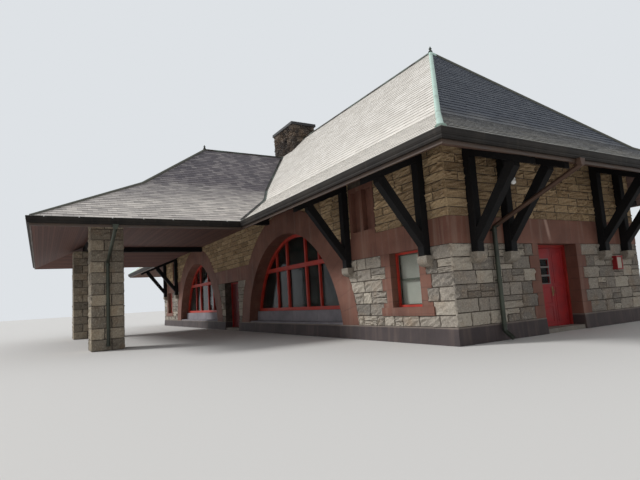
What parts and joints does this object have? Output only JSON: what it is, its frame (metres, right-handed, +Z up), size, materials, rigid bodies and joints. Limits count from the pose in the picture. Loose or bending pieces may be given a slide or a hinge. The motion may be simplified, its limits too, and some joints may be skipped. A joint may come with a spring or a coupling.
{
  "type": "railway station building",
  "caption": "Stone railway station with a steep hipped slate roof, round-arched windows, bracketed eaves, hinged doors and a hipped carriage porch on piers.",
  "frame": {"origin": "ground level, in the middle of the rectangle of the main walls", "axes": "+X along the building, the porch and road side face -Y, +Z up"},
  "size_m": [36.996, 20.24, 11.53],
  "materials": {
    "floor_stone": "rough stone",
    "brownstone": "dressed stone",
    "granite": "rough rock face",
    "fieldstone": "rough stone",
    "slate": "matt slates",
    "red_paint": "painted wood",
    "dark_timber": "stained wood",
    "brown_boards": "weathered boards",
    "dark_metal": "dull paint",
    "copper": "weathered green",
    "red_metal": "paint",
    "glass": "clear"
  },
  "bodies": {
    "building": {"arch_window_frames": "red_paint", "back_doors": "red_paint", "back_wall": "granite", "base_course": "brownstone", "belt_course": "brownstone", "blind_window_panels": "brownstone", "bracket_arms": "dark_timber", "bracket_corbels": "granite", "bracket_posts": "dark_timber", "bracket_struts": "dark_timber", "chimney": "fieldstone", "chimney_cap": "fieldstone", "door_frames": "red_paint", "downpipes": "dark_metal", "eave_purlins": "dark_timber", "eave_soffit": "brown_boards", "end_door_jambs": "brownstone", "end_door_side_panels": "red_paint", "fascia_boards": "brown_boards", "finials": "copper", "floor_slab": "floor_stone", "front_wall": "granite", "gutters": "dark_metal", "hip_rolls": "copper", "left_end_door": "red_paint", "left_end_wall": "granite", "main_roof_back": "slate", "main_roof_front": "slate", "main_roof_left": "slate", "main_roof_right": "slate", "notice_box": "red_metal", "porch_beams": "dark_timber", "porch_ceiling": "brown_boards", "porch_piers": "granite", "porch_roof": "slate", "ridge_rolls": "copper", "right_end_wall": "granite", "sash_window_frames": "red_paint", "sash_window_surrounds": "brownstone", "window_arches": "brownstone", "window_glass": "glass"},
    "end_door": {"right_end_door": "red_paint", "right_end_door_glass": "glass"},
    "front_door_right": {"front_door_right": "red_paint"},
    "front_door_left": {"front_door_left": "red_paint"}
  },
  "joints": [
    {"name": "end_door_hinge", "type": "hinge", "parent": "building", "child": "end_door", "pos_m": [15.5687, -0.815, 0], "axis": [0, 0, 1], "range_deg": [0, 90]},
    {"name": "front_door_right_hinge", "type": "hinge", "parent": "building", "child": "front_door_right", "pos_m": [0.965, -3.8037, 0], "axis": [0, 0, -1], "range_deg": [0, 90]},
    {"name": "front_door_left_hinge", "type": "hinge", "parent": "building", "child": "front_door_left", "pos_m": [-0.965, -3.8037, 0], "axis": [0, 0, 1], "range_deg": [0, 90]}
  ]
}
